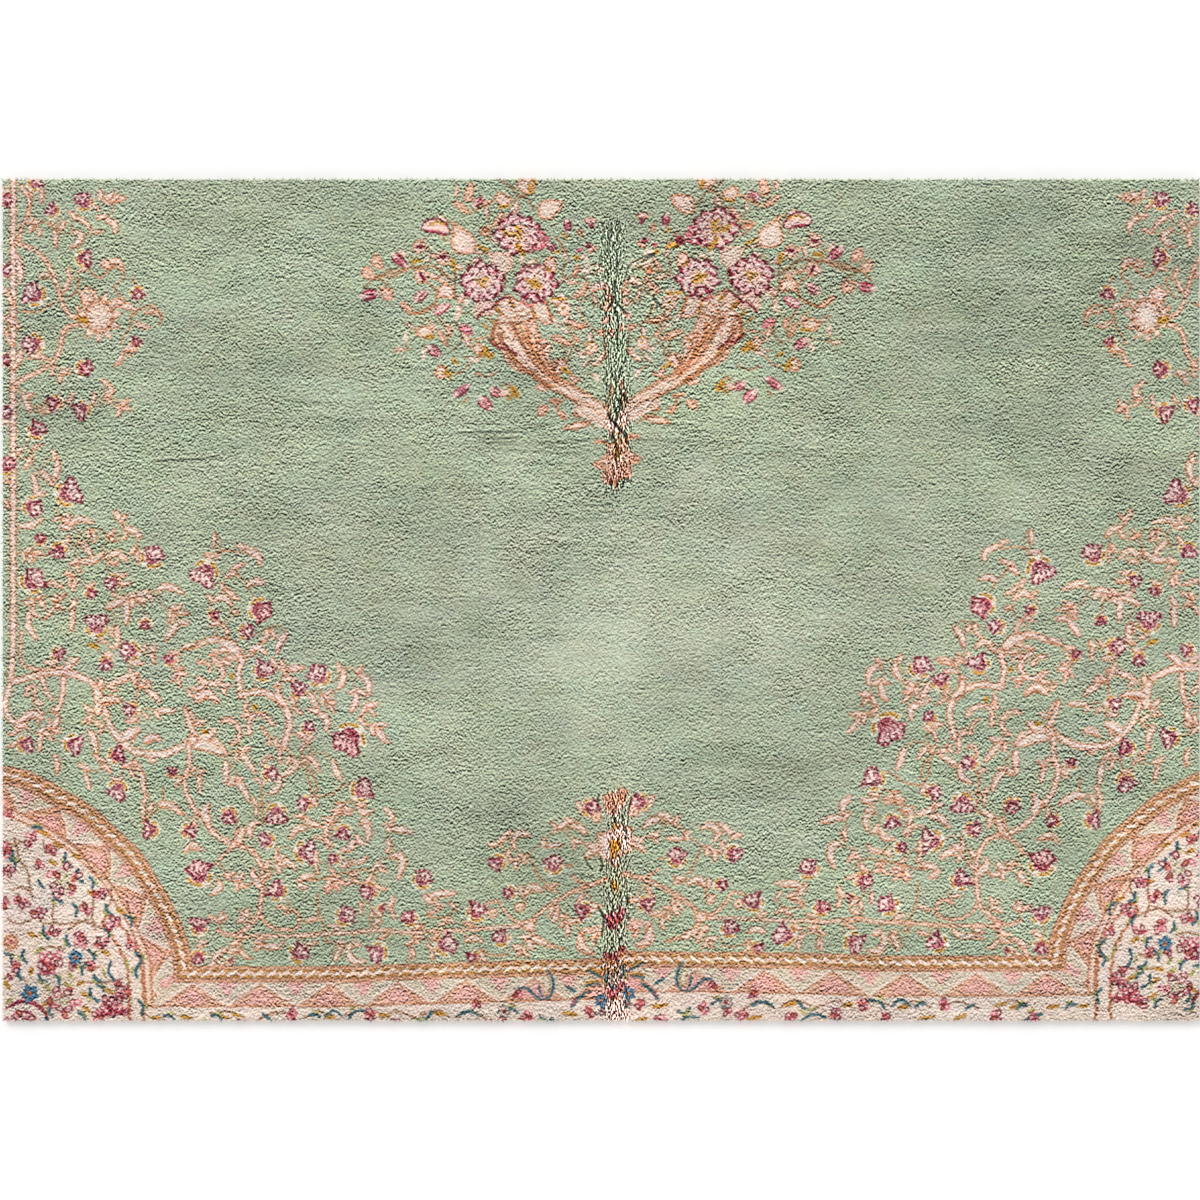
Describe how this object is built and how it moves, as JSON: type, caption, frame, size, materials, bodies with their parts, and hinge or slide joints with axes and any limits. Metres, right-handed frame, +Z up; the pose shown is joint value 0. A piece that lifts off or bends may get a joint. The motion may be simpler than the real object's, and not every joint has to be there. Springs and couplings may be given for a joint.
{
  "type": "kirman rug",
  "caption": "Flat rectangular knotted wool rug with an open green field, floral corners and border, laid flat on a floor.",
  "frame": {"origin": "middle of the flat underside", "axes": "+X along the long side, +Y from the front edge (with the ivory border) to the back edge, +Z up out of the pile"},
  "size_m": [1, 0.703, 0.0121],
  "materials": {
    "wool_pile": "cut wool pile, matt, sage green ground with salmon, rose, gold and ivory"
  },
  "bodies": {
    "root": {"rug": "wool_pile"}
  },
  "joints": []
}
